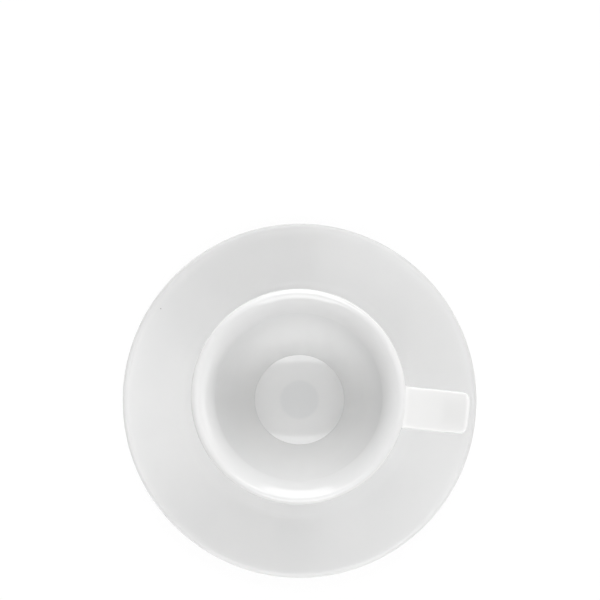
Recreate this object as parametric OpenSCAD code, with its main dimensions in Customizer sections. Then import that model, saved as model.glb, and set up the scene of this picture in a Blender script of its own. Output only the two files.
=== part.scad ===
// Espresso cup on its saucer, in white glazed porcelain.
// The saucer stands on z = 0, cup and saucer are turned about Z, and the handle points along +X.

/* [Saucer] */
// Diameter over the rim
saucer_d = 120; // [108:1:150]
// Height of the rim above the table
saucer_h = 13; // [11.5:0.5:20]
// Thickness of the wall and of the base
saucer_wall = 3.2; // [2.6:0.1:4]
// Diameter of the crease where the well turns up into the flag
well_d = 80; // [72:1:92]
// Rise of the well from the seat's edge to the crease
well_rise = 1.2; // [0.6:0.1:2]
// Radius of the soft crease
crease_r = 8; // [2:0.5:12]

/* [Saucer foot ring] */
// Diameter over the foot ring
ring_d = 66; // [54:1:70]
// Width of the foot ring
ring_w = 3; // [2:0.1:5]
// Depth of the hollow inside the foot ring
ring_h = 2.4; // [1.5:0.1:3]
// Radius of the foot ring's bottom edges
ring_round = 0.8; // [0.3:0.1:0.9]
// Radius where the foot ring meets the underside
ring_fillet = 0.8; // [0.3:0.1:1]

/* [Seat] */
// Room around the cup's foot in its seat
seat_clearance = 1.2; // [0.6:0.1:3]
// Depth of the seat below the well
seat_depth = 0.8; // [0.4:0.1:1.2]
// Radius of the seat's edge
seat_round = 0.5; // [0.2:0.1:0.8]

/* [Cup] */
// Diameter over the lip
rim_d = 68; // [64:1:80]
// Height of the cup from its foot to its lip
cup_h = 55; // [48:1:70]
// Thickness of the wall and of the lip
cup_wall = 3.2; // [2.6:0.1:4]
// How far the lip reaches out past the bend in the wall
lip_reach = 4.9; // [4:0.1:6]
// How far the lip stands above the bend in the wall
lip_drop = 3.5; // [3:0.1:4.5]
// Radius of the bend, in the middle of the wall
flare_r = 9; // [4:0.5:9.5]
// Diameter of the sharp crease round the floor
floor_d = 30.2; // [26:0.1:36]
// Thickness of the floor at its middle
floor_t = 4; // [3:0.1:6]
// Depth of the floor's dish below its crease
dish_depth = 1.6; // [0.8:0.1:3]

/* [Cup foot ring] */
// How far the foot ring stands in from the foot of the wall
foot_inset = 1.5; // [1.2:0.1:2.5]
// Width of the foot ring
foot_w = 2.6; // [1.8:0.1:3.5]
// Height of the foot ring outside
foot_h = 2.4; // [1.8:0.1:3.5]
// Depth of the hollow inside the foot ring
recess_h = 1.8; // [1:0.1:2.5]
// Radius of the foot ring's bottom edges
foot_round = 0.6; // [0.2:0.1:0.8]
// Radius where the foot ring meets the cup
foot_fillet = 0.4; // [0.2:0.1:0.5]
// Radius where the wall turns in under the cup
heel_round = 0.8; // [0.3:0.1:0.8]

/* [Handle] */
// Width of the strap
handle_w = 13.2; // [9:0.1:16]
// Thickness of the strap
handle_t = 4.4; // [3.5:0.1:6]
// Reach of the handle from the cup's axis
handle_reach = 54.2; // [52:0.1:60]
// Depth of the level thumb rest below the lip
handle_drop = 3; // [2.4:0.1:4.5]
// Distance past the lip at which the strap levels out
thumb_run = 8; // [6:0.5:10]
// Fall of the strap from the lip to the thumb rest in degrees
handle_fall = 13; // [6:1:15]
// Radius of the bend into the thumb rest
thumb_r = 40; // [10:1:50]
// Radius of the outer corner
tip_r = 1.6; // [1:0.1:3]
// Radius of the finger hole's outer corner
hole_r = 3.5; // [2:0.5:4]
// Lean of the outer branch from the upright in degrees
handle_lean = 14; // [8:1:20]
// Rise of the lower branch from its root in degrees
low_rise = 32; // [22:1:38]
// Height of the lower root above the cup's foot
handle_low = 15; // [12:0.5:20]
// Outside radius of the lower bend
low_r = 16; // [10:1:18]
// How much the strap swells on each side at its roots
root_swell = 0.8; // [0.2:0.1:1]
// Length of the swelling
root_run = 3; // [1.5:0.1:3.5]

/* [Hidden] */
$fn = 180;
glaze = [0.94, 0.94, 0.93];
// Turn between the points of a rounded corner, and of the wide floor dish, in degrees
arc_step = 6;
dish_step = 1.5;
// Part of a step that rounding errors may add
step_slack = 0.01;
// Part of a straight run that the rounding beside it may take up
fit_share = 0.98;
// Points round the strap's section, and the exponent of its superellipse
strap_sides = 28;
strap_power = 4;
// Stations along each swelling, and how deep the strap's ends start inside the wall
root_steps = 5;
root_depth = 6;

// Unit vector at an angle, and the unit vector along v
function along(angle) = [cos(angle), sin(angle)];
function unit(v) = v / norm(v);
function flat(p) = [p.x, p.y];

// Where the line through p at angle a meets the line through q at angle b
function meet(p, a, q, b) = p + along(a) * cross(q - p, along(b)) / cross(along(a), along(b));

// Angle of the line through p that touches, on its right, the circle round c
function tangent_angle(p, c, r) = atan2(c.y - p.y, c.x - p.x) + asin(r / norm(c - p));

// A wall's corner between lines at angles a and b, carried to the right by t
function wall_corner(p, a, b, t) =
    let (n = along(a - 90), m = along(b - 90))
    p + (n + m) * t / (1 + n * m);

// Points on the circle round c between two angles
function arc(c, r, from, to, step = arc_step) =
    let (steps = ceil(abs(to - from) / step - step_slack))
    [for (i = [0:steps]) c + r * along(from + (to - from) * i / steps)];

// Points that round off corner b, between a and c, with radius r
function corner_arc(a, b, c, r) =
    let (
        u = unit(a - b),
        v = unit(c - b),
        half = acos(u * v) / 2,
        centre = b + unit(u + v) * r / sin(half),
        side = sign(cross(v, u)),
        from = atan2(u.y, u.x) + side * 90
    )
    arc(centre, r, from, from + side * (180 - 2 * half));

// An open outline of [x, y, radius] corners; its two ends only steer
function rounded(corners) = [
    for (i = [1:len(corners) - 2])
        each corner_arc(flat(corners[i - 1]), flat(corners[i]), flat(corners[i + 1]), corners[i][2])
];

// Cup: the wall's middle line runs up to the bend and out along the lip
lip_r = cup_wall / 2;
lip_centre = [rim_d / 2 - lip_r, cup_h - lip_r];
bend = [rim_d / 2 - lip_reach, cup_h - lip_drop];
lip_slope = atan2(lip_centre.y - bend.y, lip_centre.x - bend.x);
floor_crease = [floor_d / 2, recess_h + floor_t + dish_depth];
wall_slope = tangent_angle(floor_crease, bend, lip_r);
inner_bend = wall_corner(bend, wall_slope, lip_slope, -lip_r);
outer_bend = wall_corner(bend, wall_slope, lip_slope, lip_r);
lip_arc = arc(lip_centre, lip_r, lip_slope + 90, lip_slope - 90);
lip_under = lip_arc[len(lip_arc) - 1];

// The flare's radius in the middle of the wall, limited by the length of the lip
lip_run = norm(lip_centre - bend);
flare_mid_r = min(flare_r, lip_run * fit_share / tan((wall_slope - lip_slope) / 2));

// Floor: a shallow spherical dish up to its crease
dish_r = (floor_crease.x ^ 2 + dish_depth ^ 2) / (2 * dish_depth);
dish_half = asin(floor_crease.x / dish_r);
dish_arc = arc([0, floor_crease.y - dish_depth + dish_r], dish_r, -90, dish_half - 90, dish_step);

// Foot ring, set in from where the outer wall comes down
heel = meet(outer_bend, wall_slope, [0, foot_h], 0);
foot_r = heel.x - foot_inset;
foot_inner = foot_r - foot_w;
cup_flank = rounded([
    lip_under,
    [outer_bend.x, outer_bend.y, flare_mid_r - lip_r],
    [heel.x, heel.y, heel_round],
    [foot_r, foot_h, foot_fillet],
    [foot_r, 0, foot_round],
    [foot_inner, 0, foot_round],
    [foot_inner, recess_h, foot_fillet],
    [0, recess_h]
]);
cup_inside = concat(dish_arc, rounded([
    floor_crease,
    [inner_bend.x, inner_bend.y, flare_mid_r + lip_r],
    lip_arc[0]
]));

// Saucer: seat, well, flag and rolled rim, over a base with a foot ring
seat_r = foot_r + seat_clearance;
seat_z = ring_h + saucer_wall;
well_start = [seat_r + seat_depth, seat_z + seat_depth];
crease = [well_d / 2, well_start.y + well_rise];
rim_r = saucer_wall / 2;
rim_centre = [saucer_d / 2 - rim_r, saucer_h - rim_r];
well_slope = atan2(crease.y - well_start.y, crease.x - well_start.x);
flag_slope = tangent_angle(crease, rim_centre, rim_r);
rim_arc = arc(rim_centre, rim_r, flag_slope + 90, flag_slope - 90);
under_crease = wall_corner(crease, well_slope, flag_slope, saucer_wall);
ring_r = ring_d / 2;
ring_top = meet(under_crease, well_slope, [ring_r, 0], 90);
saucer_outline = concat(
    [[0, seat_z]],
    rounded([
        [0, seat_z],
        [seat_r, seat_z, seat_round],
        [well_start.x, well_start.y, seat_round],
        [crease.x, crease.y, crease_r],
        rim_arc[0]
    ]),
    rim_arc,
    rounded([
        rim_arc[len(rim_arc) - 1],
        [under_crease.x, under_crease.y, crease_r + saucer_wall],
        [ring_r, ring_top.y, ring_fillet],
        [ring_r, 0, ring_round],
        [ring_r - ring_w, 0, ring_round],
        [ring_r - ring_w, ring_h, ring_fillet],
        [0, ring_h]
    ]),
    [[0, ring_h]]
);

// Handle: its side view in the XZ plane is an outer contour and, one thickness inside it, the finger hole's
back_angle = -90 - handle_lean;
low_angle = low_rise - 180;
thumb = [rim_d / 2 + thumb_run, cup_h - handle_drop];
tip = thumb + [handle_reach - thumb.x + tip_r * (tan(-back_angle / 2) - 1), 0];
low_root = meet(outer_bend, wall_slope, [0, handle_low], 0);
low = meet(tip, back_angle, low_root, low_angle);
hole_thumb = wall_corner(thumb, -handle_fall, 0, handle_t);
hole_tip = wall_corner(tip, 0, back_angle, handle_t);
hole_low = wall_corner(low, back_angle, low_angle, handle_t);

// Radii of the bend into the thumb rest, outside and in the finger hole, kept within the straight runs beside it
thumb_room = thumb_run / cos(handle_fall) - root_run;
hole_room = hole_tip.x - hole_thumb.x - hole_r * tan(-back_angle / 2);
thumb_top_r = min(thumb_r, thumb_room * fit_share / tan(handle_fall / 2));
thumb_hole_r = min(thumb_top_r + handle_t, hole_room * fit_share / tan(handle_fall / 2));

// Where the contours come out of the lip and of the wall
top_start = meet(thumb, -handle_fall, [rim_d / 2, 0], 90);
hole_top_start = meet(hole_thumb, -handle_fall, outer_bend, 90);
hole_low_root = meet(hole_low, low_angle, outer_bend, wall_slope);

// Stations at a root, each [outer point, inner point, swell], from inside the wall to the swelling's end
function root_stations(outer, inner, dir) = [
    for (i = [-1:root_steps])
        let (
            d = i < 0 ? -root_depth : root_run * i / root_steps,
            s = root_swell * (1 - max(0, d) / root_run) ^ 2,
            push = unit(outer - inner) * s
        )
        [outer + along(dir) * d + push, inner + along(dir) * d - push, s]
];
low_stations = root_stations(low_root, hole_low_root, low_rise);
outer_line = rounded([
    top_start,
    [thumb.x, thumb.y, thumb_top_r],
    [tip.x, tip.y, tip_r],
    [low.x, low.y, low_r],
    low_root
]);
hole_line = rounded([
    hole_top_start,
    [hole_thumb.x, hole_thumb.y, thumb_hole_r],
    [hole_tip.x, hole_tip.y, hole_r],
    [hole_low.x, hole_low.y, low_r - handle_t],
    hole_low_root
]);
stations = concat(
    root_stations(top_start, hole_top_start, -handle_fall),
    [for (i = [0:len(outer_line) - 1]) [outer_line[i], hole_line[i], 0]],
    [for (i = [len(low_stations) - 1:-1:0]) low_stations[i]]
);

// One superellipse ring of the strap, across from the inner to the outer contour
function signed_pow(v, p) = sign(v) * abs(v) ^ p;
function strap_ring(station) =
    let (
        middle = (station[0] + station[1]) / 2,
        half_t = (station[0] - station[1]) / 2,
        half_w = handle_w / 2 + station[2]
    )
    [for (j = [0:strap_sides - 1])
        let (
            a = 360 * j / strap_sides,
            p = middle + half_t * signed_pow(sin(a), 2 / strap_power)
        )
        [p.x, half_w * signed_pow(cos(a), 2 / strap_power), p.y]
    ];

// The strap as a loft through its rings
module strap() {
    n = strap_sides;
    last = (len(stations) - 1) * n;
    sides = [
        for (i = [0:n:last - n], j = [0:n - 1])
            let (a = i + j, b = i + (j + 1) % n)
            each [[a, b, a + n], [b, b + n, a + n]]
    ];
    start_cap = [for (j = [n - 1:-1:0]) j];
    end_cap = [for (j = [0:n - 1]) last + j];
    polyhedron([for (s = stations) each strap_ring(s)], concat(sides, [start_cap, end_cap]));
}

// The cup's outer form with nothing hollow, drawn up past the lip, which trims the strap's ends
module cup_form() {
    top = cup_h + handle_t;
    lip_outside = [for (p = lip_arc) if (p.x > lip_centre.x) p];
    rotate_extrude()
        polygon(concat([[0, recess_h], [0, top], [lip_centre.x, top]], lip_outside, cup_flank));
}

module saucer() {
    color(glaze)
        rotate_extrude()
            polygon(saucer_outline);
}

module cup_body() {
    color(glaze)
        translate([0, 0, seat_z])
            rotate_extrude()
                polygon(concat(cup_inside, lip_arc, cup_flank, [[0, recess_h]]));
}

module cup_handle() {
    color(glaze)
        translate([0, 0, seat_z])
            difference() {
                strap();
                cup_form();
            }
}

saucer();
cup_body();
cup_handle();
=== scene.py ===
import math

import bmesh
import bpy
from mathutils import Matrix, Vector
from mathutils.bvhtree import BVHTree


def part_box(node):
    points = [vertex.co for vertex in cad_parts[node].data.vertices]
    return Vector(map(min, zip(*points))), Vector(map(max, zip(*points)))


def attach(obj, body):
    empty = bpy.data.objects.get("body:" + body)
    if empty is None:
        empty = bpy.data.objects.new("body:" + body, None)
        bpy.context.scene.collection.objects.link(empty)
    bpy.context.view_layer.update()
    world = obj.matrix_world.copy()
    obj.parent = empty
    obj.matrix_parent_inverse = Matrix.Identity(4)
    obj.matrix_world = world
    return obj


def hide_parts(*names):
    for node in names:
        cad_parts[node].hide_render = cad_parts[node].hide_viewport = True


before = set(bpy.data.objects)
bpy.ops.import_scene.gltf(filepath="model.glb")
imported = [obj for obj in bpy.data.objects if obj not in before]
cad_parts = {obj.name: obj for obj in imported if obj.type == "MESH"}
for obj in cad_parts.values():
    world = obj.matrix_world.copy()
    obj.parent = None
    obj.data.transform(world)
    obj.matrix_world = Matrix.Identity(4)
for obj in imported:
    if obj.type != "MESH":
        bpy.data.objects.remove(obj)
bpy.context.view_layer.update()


# Saucer: one porcelain dish, turned on the wheel from plastic clay, glazed white and fired.
# A flat seat for the cup lies one step below the well, and a crease turns the well up into the flag.
# The rim is rolled over to a full round, and a foot ring underneath lifts the saucer off the table.
saucer_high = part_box("saucer")[1]
saucer_radius = saucer_high.x
saucer_height = saucer_high.z
saucer_wall = 0.0032
well_radius = 0.040
well_rise = 0.0012
well_crease_round = 0.008
ring_radius = 0.033
ring_width = 0.003
ring_hollow = 0.0024
ring_edge = 0.0008
seat_step = 0.0008
seat_edge = 0.0005
seat_radius = 0.016724  # the cup's foot and 1.2 mm all round
seat_height = ring_hollow + saucer_wall
meeting_share = 0.999  # two roundings that meet stop just short of each other


def heading(angle):
    return Vector((math.cos(angle), math.sin(angle)))


def meet(p, p_angle, q, q_angle):
    """Where the line through p at one angle crosses the line through q at another."""
    along, across = heading(p_angle), heading(q_angle)
    return p + along * (q - p).cross(across) / along.cross(across)


def touching_angle(p, centre, radius):
    """Angle of the line from p that passes a circle on its left side."""
    way = centre - p
    return math.atan2(way.y, way.x) + math.asin(radius / way.length)


def other_face(p, first_angle, second_angle, thickness):
    """A wall's corner carried through the wall, to the right of its two lines."""
    first = heading(first_angle - math.pi / 2)
    second = heading(second_angle - math.pi / 2)
    return p + (first + second) * thickness / (1 + first.dot(second))


def full_round(centre, angle, radius):
    """The two corners of a wall's end, which their rounding turns into a half circle."""
    end, side = heading(angle) * radius, heading(angle + math.pi / 2) * radius
    return [(*(centre + end + side), radius * meeting_share), (*(centre + end - side), radius * meeting_share)]


def draw_corners(bm, corners, steps=None, tolerance=2e-6):
    """A wire in the XZ plane through corners of (x, z, rounding), each rounded by a bevel.
    An arc has the given steps, or as many as keep its chords within the tolerance."""
    corners = [(*corner, 0) if len(corner) == 2 else corner for corner in corners]
    verts = [bm.verts.new((x, 0, z)) for x, z, _ in corners]
    for pair in zip(verts, verts[1:]):
        bm.edges.new(pair)
    for before, corner, after, vert in zip(corners, corners[1:], corners[2:], verts[1:]):
        here = Vector(corner[:2])
        opening = (Vector(before[:2]) - here).angle(Vector(after[:2]) - here)
        if corner[2] > 0:
            chord_angle = 2 * math.acos(1 - tolerance / corner[2])
            bmesh.ops.bevel(
                bm, geom=[vert], affect="VERTICES", offset_type="OFFSET", profile=0.5, material=-1,
                offset=corner[2] / math.tan(opening / 2),
                segments=steps or math.ceil((math.pi - opening) / chord_angle),
            )


def turned_piece(name, corners, longest=0.002, quarter_steps=56):
    """A piece turned about Z from the corners of its half section, which starts and ends on the axis."""
    bm = bmesh.new()
    draw_corners(bm, corners)
    for edge in list(bm.edges):
        cuts = math.floor(edge.calc_length() / longest)
        if cuts:
            bmesh.ops.subdivide_edges(bm, edges=[edge], cuts=cuts)
    bmesh.ops.spin(
        bm, geom=bm.verts[:] + bm.edges[:], cent=(0, 0, 0), axis=(0, 0, 1), angle=math.pi / 2,
        steps=quarter_steps,
    )
    for axis in "XY":
        bmesh.ops.mirror(bm, geom=bm.verts[:] + bm.edges[:] + bm.faces[:], axis=axis)
    bmesh.ops.remove_doubles(bm, verts=bm.verts, dist=1e-6)
    bmesh.ops.recalc_face_normals(bm, faces=bm.faces)
    return finished(name, bm)


def finished(name, bm):
    for face in bm.faces:
        face.smooth = True
    mesh = bpy.data.meshes.new(name)
    bm.to_mesh(mesh)
    bm.free()
    piece = bpy.data.objects.new(name, mesh)
    bpy.context.scene.collection.objects.link(piece)
    return piece


rim_round = saucer_wall / 2
rim_centre = Vector((saucer_radius - rim_round, saucer_height - rim_round))
well_start = Vector((seat_radius + seat_step, seat_height + seat_step))
well_crease = Vector((well_radius, well_start.y + well_rise))
well_angle = math.atan2(well_rise, well_crease.x - well_start.x)
flag_angle = touching_angle(well_crease, rim_centre, rim_round)
under_crease = other_face(well_crease, well_angle, flag_angle, saucer_wall)
ring_top = meet(under_crease, well_angle, Vector((ring_radius, 0)), math.pi / 2)
saucer = turned_piece("saucer_dish", [
    (0, seat_height),
    (seat_radius, seat_height, seat_edge),
    (*well_start, seat_edge),
    (*well_crease, well_crease_round),
    *full_round(rim_centre, flag_angle, rim_round),
    (*under_crease, well_crease_round + saucer_wall),
    (*ring_top, ring_edge),
    (ring_radius, 0, ring_edge),
    (ring_radius - ring_width, 0, ring_edge),
    (ring_radius - ring_width, ring_hollow, ring_edge),
    (0, ring_hollow),
])


# Glaze: a clear glassy coat over white porcelain, dipped and fired, so it is smooth but never quite flat.
# It takes painted grey shade where listed, runs thin over edges, and holds a rare iron speck from the clay.
# The rings that a piece stands on are wiped bare before the firing, and stay matt and a little warm.
def glaze(name, bare_below, painted_darkening, thin_edge):
    """Glazed porcelain: bare_below is a height, and thin_edge is a radius.
    Painted darkenings are (radius, height, full, reach): painted shade and reflections that fade between the
    distances full and reach."""
    porcelain = (0.85, 0.85, 0.847, 1)
    # Grey for the random clouding, and for the painted shade and painted reflection.
    cloud_and_darkening_grey = (0.792, 0.798, 0.801, 1)
    thin = (0.863, 0.861, 0.855, 1)
    bare_clay = (0.70, 0.685, 0.66, 1)
    speck_brown = (0.16, 0.13, 0.11, 1)
    cloud_share, darkening_share, thin_share, speck_share = 0.35, 0.9, 0.8, 0.75
    cloud_scale, peel_scale, grain_scale, speck_scale = 38, 620, 5200, 240
    speck_rarity = 0.9965
    speck_core, speck_reach = 0.03, 0.07
    thin_reach = 0.0012
    wipe_reach = 0.00025
    wipe_waver = 0.0004
    least_rough, most_rough, bare_rough = 0.06, 0.12, 0.72
    material = bpy.data.materials.new(name)
    material.use_nodes = True
    nodes, links = material.node_tree.nodes, material.node_tree.links
    shader = nodes["Principled BSDF"]

    def node(kind, settings=(), **inputs):
        made = nodes.new("ShaderNode" + kind)
        for key, value in dict(settings).items():
            setattr(made, key, value)
        for key, value in inputs.items():
            socket = made.inputs[int(key[1:]) if key[1:].isdigit() else key]
            if isinstance(value, bpy.types.NodeSocket):
                links.new(value, socket)
            else:
                socket.default_value = value
        return made

    def math_node(operation, a, b=0.0):
        return node("Math", {"operation": operation}, i0=a, i1=b).outputs[0]

    def fade(value, low, high, low_result, high_result):
        return node(
            "MapRange", {"interpolation_type": "SMOOTHSTEP"},
            i0=value, i1=low, i2=high, i3=low_result, i4=high_result,
        ).outputs[0]

    def tint(factor, a, b):
        made = node("Mix", {"data_type": "RGBA"}, Factor=factor)
        for socket, value in ((made.inputs[6], a), (made.inputs[7], b)):
            if isinstance(value, bpy.types.NodeSocket):
                links.new(value, socket)
            else:
                socket.default_value = value
        return made.outputs[2]

    place = node("TexCoord").outputs["Object"]
    split = node("SeparateXYZ", Vector=place)
    height = split.outputs["Z"]
    flat = node("CombineXYZ", X=split.outputs["X"], Y=split.outputs["Y"])
    radius = node("VectorMath", {"operation": "LENGTH"}, i0=flat.outputs[0]).outputs["Value"]
    cloud = node("TexNoise", Vector=place, Scale=cloud_scale, Detail=3).outputs["Fac"]
    peel = node("TexNoise", Vector=place, Scale=peel_scale, Detail=2).outputs["Fac"]
    grain = node("TexNoise", Vector=place, Scale=grain_scale, Detail=4).outputs["Fac"]

    colour = tint(fade(cloud, 0.3, 0.7, 0, cloud_share), porcelain, cloud_and_darkening_grey)
    # Painted shade and painted reflection: grey laid over the glaze near each listed spot.
    for darkening_radius, darkening_height, full, reach in painted_darkening:
        aside = math_node("SUBTRACT", radius, darkening_radius)
        above = math_node("SUBTRACT", height, darkening_height)
        away = math_node("SQRT", math_node("ADD", math_node("POWER", aside, 2), math_node("POWER", above, 2)))
        colour = tint(fade(away, full, reach, darkening_share, 0), colour, cloud_and_darkening_grey)
    colour = tint(fade(radius, thin_edge - thin_reach, thin_edge, 0, thin_share), colour, thin)
    cells = node("TexVoronoi", Vector=place, Scale=speck_scale)
    chance = node("SeparateColor", Color=cells.outputs["Color"]).outputs[0]
    chosen = math_node("GREATER_THAN", chance, speck_rarity)
    speck = math_node("MULTIPLY", chosen, fade(cells.outputs["Distance"], speck_core, speck_reach, 1, 0))
    colour = tint(math_node("MULTIPLY", speck, speck_share), colour, speck_brown)
    wiped_to = math_node("ADD", bare_below, math_node("MULTIPLY", math_node("SUBTRACT", cloud, 0.5), wipe_waver))
    bare = fade(math_node("SUBTRACT", height, wiped_to), -wipe_reach, wipe_reach, 1, 0)
    links.new(tint(bare, colour, bare_clay), shader.inputs["Base Color"])

    glazed_rough = fade(cloud, 0.25, 0.75, least_rough, most_rough)
    rough = node("Mix", i0=bare, i2=glazed_rough, i3=bare_rough).outputs[0]
    links.new(rough, shader.inputs["Roughness"])
    shader.inputs["IOR"].default_value = 1.5
    ripple = node("Bump", Strength=0.06, Distance=0.00008, Height=peel)
    sway = node("Bump", Strength=0.12, Distance=0.0006, Height=cloud, Normal=ripple.outputs[0])
    grit = node("Bump", Strength=bare, Distance=0.00004, Height=grain, Normal=sway.outputs[0])
    links.new(grit.outputs[0], shader.inputs["Normal"])
    return material


# Painted grey shade in the seat's step and where the foot ring meets the underside.
step_shade_reach, ring_shade_reach = 0.0025, 0.002
saucer_painted_shade = [(*well_start, 0, step_shade_reach), (*ring_top, 0, ring_shade_reach)]
saucer.data.materials.append(glaze("saucer_glaze", ring_edge, saucer_painted_shade, saucer_radius))
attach(saucer, "saucer")
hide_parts("saucer")


# Cup body: one porcelain bowl, turned like the saucer, conical with a lip that flares out to a full round.
# The floor is a shallow dish inside a sharp crease, and a foot ring set in from the wall stands in the seat.
cup_low, cup_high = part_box("cup_body")
lip_radius = cup_high.x
lip_top = cup_high.z
cup_foot = cup_low.z
cup_wall = 0.0032
lip_reach = 0.0049
lip_drop = 0.0035
flare_round = 0.009
floor_radius = 0.0151
floor_thickness = 0.004
floor_dish = 0.0016
floor_crease_round = 0.0005
foot_hollow = 0.0018
foot_height = 0.0024
foot_inset = 0.0015
foot_width = 0.0026
foot_edge = 0.0006
heel_round = 0.0008

lip_round = cup_wall / 2
lip_centre = Vector((lip_radius - lip_round, lip_top - lip_round))
bend = Vector((lip_radius - lip_reach, lip_top - lip_drop))
lip_angle = math.atan2(*(lip_centre - bend).yx)
floor_height = cup_foot + foot_hollow + floor_thickness
floor_crease = Vector((floor_radius, floor_height + floor_dish))
wall_angle = touching_angle(floor_crease, bend, lip_round)
inner_bend = other_face(bend, wall_angle, lip_angle, -lip_round)
outer_bend = other_face(bend, wall_angle, lip_angle, lip_round)
dish_round = (floor_radius ** 2 + floor_dish ** 2) / (2 * floor_dish)
dish_corner = dish_round * math.tan(math.asin(floor_radius / dish_round) / 2)
heel = meet(outer_bend, wall_angle, Vector((0, cup_foot + foot_height)), 0)
foot_radius = heel.x - foot_inset
cup_body = turned_piece("cup_bowl", [
    (0, floor_height),
    (dish_corner, floor_height, dish_round * meeting_share),
    (*floor_crease, floor_crease_round),
    (*inner_bend, flare_round + lip_round),
    *full_round(lip_centre, lip_angle, lip_round),
    (*outer_bend, flare_round - lip_round),
    (*heel, heel_round),
    (foot_radius, heel.y, foot_edge),
    (foot_radius, cup_foot, foot_edge),
    (foot_radius - foot_width, cup_foot, foot_edge),
    (foot_radius - foot_width, cup_foot + foot_hollow, foot_edge),
    (0, cup_foot + foot_hollow),
])
# Painted grey shade in the corner between the heel and the foot ring.
heel_shade_reach = 0.0015
# The middle of the dish floor gets a painted reflection of the dark camera front, in grey.
camera_reflection_full, camera_reflection_reach = 0.0058, 0.0072
cup_painted_darkening = [(foot_radius, heel.y, 0, heel_shade_reach), (0, floor_height, camera_reflection_full, camera_reflection_reach)]
cup_glaze = glaze("cup_glaze", cup_foot + foot_edge, cup_painted_darkening, lip_radius)
cup_body.data.materials.append(cup_glaze)
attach(cup_body, "cup")
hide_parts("cup_body")


# Handle: a flat strap of porcelain, cast by itself and stuck on with slip before the glaze.
# It leaves the lip in a short fall to a level thumb rest, turns down at a tight corner and comes back to the wall.
# Its section is a superellipse, and the slip is sponged to a soft fillet at both roots.
handle_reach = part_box("cup_handle")[1].x
strap_width = 0.0132
strap_thickness = 0.0044
strap_power = 4
strap_sides = 56
corner_steps = 20
thumb_drop = 0.003
thumb_run = 0.008
thumb_fall = math.radians(13)
thumb_round = 0.040
hole_thumb_round = 0.026
tip_round = 0.0016
hole_round = 0.0035
back_lean = math.radians(14)
low_rise = math.radians(32)
low_root_height = 0.015
low_round = 0.016
root_fillet = 0.0014
root_tuck_run, root_tuck_depth = root_fillet / 3, root_fillet / 20
root_gap = 0.0032
fillet_steps = 8

back_angle = -math.pi / 2 - back_lean
low_angle = low_rise - math.pi
thumb = Vector((lip_radius + thumb_run, lip_top - thumb_drop))
tip_past = tip_round * (math.tan(-back_angle / 2) - 1)
tip = Vector((handle_reach + tip_past, thumb.y))
low_root = meet(outer_bend, wall_angle, Vector((0, cup_foot + low_root_height)), 0)
low = meet(tip, back_angle, low_root, low_angle)
hole_thumb = other_face(thumb, -thumb_fall, 0, strap_thickness)
hole_tip = other_face(tip, 0, back_angle, strap_thickness)
hole_low = other_face(low, back_angle, low_angle, strap_thickness)
top_start = meet(thumb, -thumb_fall, Vector((lip_radius, 0)), math.pi / 2)
hole_top_start = meet(hole_thumb, -thumb_fall, outer_bend, math.pi / 2)
hole_low_root = meet(hole_low, low_angle, outer_bend, wall_angle)
top_out = heading(-thumb_fall) * root_gap
low_out = heading(low_rise) * root_gap


def contour(corners):
    """Points along a rounded contour, in order from its first corner."""
    bm = bmesh.new()
    draw_corners(bm, corners, steps=corner_steps)
    bm.verts.ensure_lookup_table()
    vert = bm.verts[0]
    edge = vert.link_edges[0]
    points = [vert.co.xz]
    while edge:
        vert = edge.other_vert(vert)
        points.append(vert.co.xz)
        edge = next((e for e in vert.link_edges if e != edge), None)
    bm.free()
    return points


outer_line = contour([
    top_start + top_out, (*thumb, thumb_round), (*tip, tip_round), (*low, low_round), low_root + low_out,
])
hole_line = contour([
    hole_top_start + top_out, (*hole_thumb, hole_thumb_round), (*hole_tip, hole_round),
    (*hole_low, low_round - strap_thickness), hole_low_root + low_out,
])


def station(outer, inner):
    """Matrix that lays the unit section across the strap, from its inner to its outer contour."""
    middle, half = (outer + inner) / 2, (outer - inner) / 2
    across = Vector((0, strap_width / 2, 0))
    up = Vector((half.x, 0, half.y))
    away = across.cross(up).normalized()
    matrix = Matrix((across, up, away)).transposed().to_4x4()
    matrix.translation = (middle.x, 0, middle.y)
    return matrix


def signed_power(value, power):
    return math.copysign(abs(value) ** power, value)


def next_ring(bm, ring):
    """Extrudes a ring of vertices and gives the new ring in the same order."""
    edges = [bm.edges.get(pair) for pair in zip(ring, ring[1:] + ring[:1])]
    made = bmesh.ops.extrude_edge_only(bm, edges=edges)["geom"]
    new = {item for item in made if isinstance(item, bmesh.types.BMVert)}
    return [next(e.other_vert(v) for e in v.link_edges if e.other_vert(v) in new) for v in ring]


def soften_root(bm, ring, way, wall):
    """Carries a ring to the wall and spreads it out on it, in a fillet of the sponged slip."""
    hits = [wall.ray_cast(vert.co, way) for vert in ring]
    middle = sum((hit[0] for hit in hits), Vector()) / len(hits)
    count = len(ring)
    starts, seams, spreads, feet = [], [], [], []
    for i, (seam, normal, _, _) in enumerate(hits):
        run = hits[(i + 1) % count][0] - hits[i - 1][0]
        spread = normal.cross(run).normalized()
        spread = spread if spread.dot(seam - middle) > 0 else -spread
        starts.append(seam - way * root_fillet)
        seams.append(seam)
        spreads.append(spread)
        feet.append(wall.find_nearest(seam + spread * root_fillet)[0])
    for k in range(fillet_steps + 1):
        t = k / fillet_steps
        ring = next_ring(bm, ring)
        for vert, start, seam, foot in zip(ring, starts, seams, feet):
            vert.co = start * (1 - t) ** 2 + seam * 2 * t * (1 - t) + foot * t ** 2
    ring = next_ring(bm, ring)
    for vert, foot, spread in zip(ring, feet, spreads):
        on_wall, normal = wall.find_nearest(foot + spread * root_tuck_run)[:2]
        vert.co = on_wall - normal * root_tuck_depth


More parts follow.
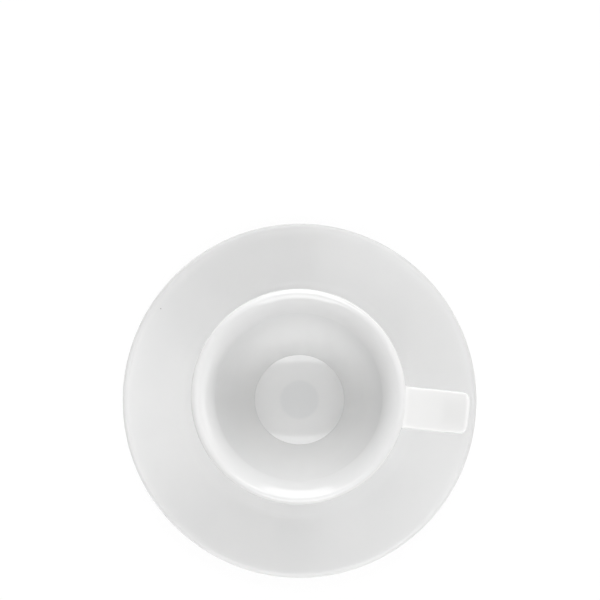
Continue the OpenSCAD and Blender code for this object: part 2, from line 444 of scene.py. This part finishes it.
strap = bmesh.new()
first_ring = bmesh.ops.create_circle(strap, segments=strap_sides, radius=1)["verts"]
for vert in first_ring:
    vert.co.x = signed_power(vert.co.x, 2 / strap_power)
    vert.co.y = signed_power(vert.co.y, 2 / strap_power)
places = [station(outer, inner) for outer, inner in zip(outer_line, hole_line)]
bmesh.ops.transform(strap, matrix=places[0], verts=first_ring)
ring = first_ring
for before, place in zip(places, places[1:]):
    ring = next_ring(strap, ring)
    bmesh.ops.transform(strap, matrix=place @ before.inverted(), verts=ring)
cup_wall_tree = BVHTree.FromPolygons(
    [v.co for v in cup_body.data.vertices], [p.vertices for p in cup_body.data.polygons]
)
top_in, low_in = -heading(-thumb_fall), -heading(low_rise)
soften_root(strap, first_ring, Vector((top_in.x, 0, top_in.y)), cup_wall_tree)
soften_root(strap, ring, Vector((low_in.x, 0, low_in.y)), cup_wall_tree)
bmesh.ops.recalc_face_normals(strap, faces=strap.faces)
cup_handle = finished("cup_strap_handle", strap)
cup_handle.data.materials.append(cup_glaze)
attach(cup_handle, "cup")
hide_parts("cup_handle")


# Studio: a white table top in a white room, with separate diffusing panels for the cup, its handle and the saucer.
# The table and the room are white to the eye and in the glaze, and the table still takes a soft shadow.
scene = bpy.context.scene
scene.view_settings.view_transform = "Standard"
handle_turn = math.radians(5.7)
image_right = Vector((math.cos(handle_turn), math.sin(handle_turn), 0))
image_up = Vector((-math.sin(handle_turn), math.cos(handle_turn), 0))
table_half = 3.0
table_white = 0.9
table_glow = 0.9
shadow_near, shadow_far = 0.05, 0.35


def seen(tree):
    """One where a ray comes from the camera or from a mirrored or clear surface, and zero elsewhere."""
    path = tree.nodes.new("ShaderNodeLightPath")
    total = path.outputs["Is Camera Ray"]
    for name in ("Is Glossy Ray", "Is Transmission Ray"):
        most = tree.nodes.new("ShaderNodeMath")
        most.operation = "MAXIMUM"
        tree.links.new(total, most.inputs[0])
        tree.links.new(path.outputs[name], most.inputs[1])
        total = most.outputs[0]
    return total


bm = bmesh.new()
bmesh.ops.create_grid(bm, x_segments=1, y_segments=1, size=table_half)
table = finished("table_top", bm)
table_paint = bpy.data.materials.new("table_paint")
table_paint.use_nodes = True
tree = table_paint.node_tree
paint = tree.nodes["Principled BSDF"]
paint.inputs["Base Color"].default_value = (table_white, table_white, table_white, 1)
paint.inputs["Roughness"].default_value = 0.9
paint.inputs["Specular IOR Level"].default_value = 0.0
glow = tree.nodes.new("ShaderNodeEmission")
share = tree.nodes.new("ShaderNodeMath")
share.operation = "MULTIPLY"
tree.links.new(seen(tree), share.inputs[0])
from_middle = tree.nodes.new("ShaderNodeVectorMath")
from_middle.operation = "LENGTH"
tree.links.new(tree.nodes.new("ShaderNodeTexCoord").outputs["Object"], from_middle.inputs[0])
whiter = tree.nodes.new("ShaderNodeMapRange")
whiter.interpolation_type = "SMOOTHSTEP"
for socket, value in zip(whiter.inputs[1:5], (shadow_near, shadow_far, table_glow, 1.0)):
    socket.default_value = value
tree.links.new(from_middle.outputs["Value"], whiter.inputs[0])
tree.links.new(whiter.outputs[0], share.inputs[1])
both = tree.nodes.new("ShaderNodeMixShader")
tree.links.new(share.outputs[0], both.inputs[0])
tree.links.new(paint.outputs[0], both.inputs[1])
tree.links.new(glow.outputs[0], both.inputs[2])
tree.links.new(both.outputs[0], tree.nodes["Material Output"].inputs["Surface"])
table.data.materials.append(table_paint)

room = bpy.data.worlds.new("white_room")
room.use_nodes = True
scene.world = room
wall_light = room.node_tree.nodes["Background"]
wall_light.inputs["Color"].default_value = (1, 1, 1, 1)
room.node_tree.links.new(seen(room.node_tree), wall_light.inputs["Strength"])

panel_distance = 1.2
overhead = 89.9


def lit_group(name, *pieces):
    """A collection of the pieces that a panel lights, for light linking."""
    group = bpy.data.collections.new(name)
    for piece in pieces:
        group.objects.link(piece)
    return group


def panel(name, group, turn, rise, width, height, watts, mirrored=True):
    """A diffusing panel that faces the cup: turn goes from the picture's right towards its top.
    Rise goes up from the table, and a panel that isn't mirrored leaves no highlight in the glaze."""
    light = bpy.data.lights.new(name, "AREA")
    light.shape = "RECTANGLE"
    light.size, light.size_y = width, height
    light.energy = watts
    turn, rise = math.radians(turn), math.radians(rise)
    level = image_right * math.cos(turn) + image_up * math.sin(turn)
    place = (level * math.cos(rise) + Vector((0, 0, math.sin(rise)))) * panel_distance
    lamp = bpy.data.objects.new(name, light)
    lamp.matrix_world = Matrix.LocRotScale(place, (-place).to_track_quat("-Z", "Y"), None)
    lamp.visible_glossy = mirrored
    lamp.light_linking.receiver_collection = group
    scene.collection.objects.link(lamp)


lit_cup = lit_group("lit_cup", cup_body, table)
panel("front_panel", lit_cup, 270, 51, 0.8, 1.0, 10.0)
panel("back_low_panel", lit_cup, 90, 18, 0.8, 0.8, 6.6)
panel("back_panel", lit_cup, 90, 56, 0.8, 0.7, 6.9)
panel("right_low_panel", lit_cup, 0, 12, 1.2, 0.5, 2.3)
panel("right_panel", lit_cup, 0, 62, 0.6, 0.4, 0.4)
lit_handle = lit_group("lit_handle", cup_handle)
panel("handle_front_panel", lit_handle, 270, 15, 1.6, 0.6, 6.8)
panel("handle_back_panel", lit_handle, 90, 15, 1.6, 0.6, 7.0)
panel("handle_right_panel", lit_handle, 0, 15, 1.6, 0.6, 5.4)
panel("handle_top_panel", lit_handle, 90, overhead, 1.2, 1.2, 12.9, mirrored=False)
lit_saucer = lit_group("lit_saucer", saucer)
panel("saucer_front_panel", lit_saucer, 270, 42, 1.3, 0.8, 5.9)
panel("saucer_front_right_panel", lit_saucer, 315, 42, 0.8, 0.6, 2.7)
panel("saucer_back_right_panel", lit_saucer, 45, 42, 0.8, 0.6, 2.7)
panel("saucer_back_panel", lit_saucer, 90, 32, 1.3, 0.8, 5.0)
panel("saucer_left_panel", lit_saucer, 180, 42, 0.9, 0.7, 3.2)
panel("saucer_top_panel", lit_saucer, 90, overhead, 1.2, 1.2, 4.4)
lit_table = lit_group("lit_table", table)
panel("table_panel", lit_table, 90, overhead, 1.2, 1.2, 7.0)


# Camera: almost straight above the cup, and a little in front of it.
# It is aimed so that the saucer comes where the photograph has it, below the middle of the frame.
# Its dark front is a plain disc that shows in the glaze only.
frame_pixels = 600
saucer_pixel = Vector((299.5, 399.7))
saucer_radius_pixels = 176.7
lens_above_lip = 0.634
lens_forward = math.radians(1.3)
lens_aside = math.radians(0.35)
saucer_centre = Vector((0, 0, saucer_height - rim_round))
lens_way = Vector((0, 0, 1)) - image_up * math.tan(lens_forward) + image_right * math.tan(lens_aside)
lens_height = lip_top + lens_above_lip - saucer_centre.z
lens_place = saucer_centre + lens_way * lens_height
focal_pixels = saucer_radius_pixels * (lens_place - saucer_centre).length / saucer_radius
camera_data = bpy.data.cameras.new("camera")
camera_data.lens = camera_data.sensor_width * focal_pixels / frame_pixels
camera = bpy.data.objects.new("camera", camera_data)
back = (lens_place - saucer_centre).normalized()
right = image_up.cross(back).normalized()
look = Matrix((right, back.cross(right), back)).transposed()
off_centre = saucer_pixel - Vector((frame_pixels, frame_pixels)) / 2
pitch = Matrix.Rotation(math.atan(off_centre.y / focal_pixels), 3, "X")
yaw = Matrix.Rotation(math.atan(off_centre.x / focal_pixels), 3, "Y")
camera.matrix_world = Matrix.LocRotScale(lens_place, (look @ yaw @ pitch).to_quaternion(), None)
scene.collection.objects.link(camera)
scene.camera = camera

camera_front_radius = 0.12
camera_front_shift = image_up * 0.02
bm = bmesh.new()
bmesh.ops.create_circle(bm, cap_ends=True, segments=32, radius=camera_front_radius)
bmesh.ops.translate(bm, verts=bm.verts, vec=lens_place + camera_front_shift)
camera_front = finished("camera_front", bm)
camera_front.visible_camera = camera_front.visible_diffuse = camera_front.visible_shadow = False
camera_black = bpy.data.materials.new("camera_black")
camera_black.use_nodes = True
camera_black.node_tree.nodes["Principled BSDF"].inputs["Base Color"].default_value = (0.03, 0.03, 0.03, 1)
camera_front.data.materials.append(camera_black)
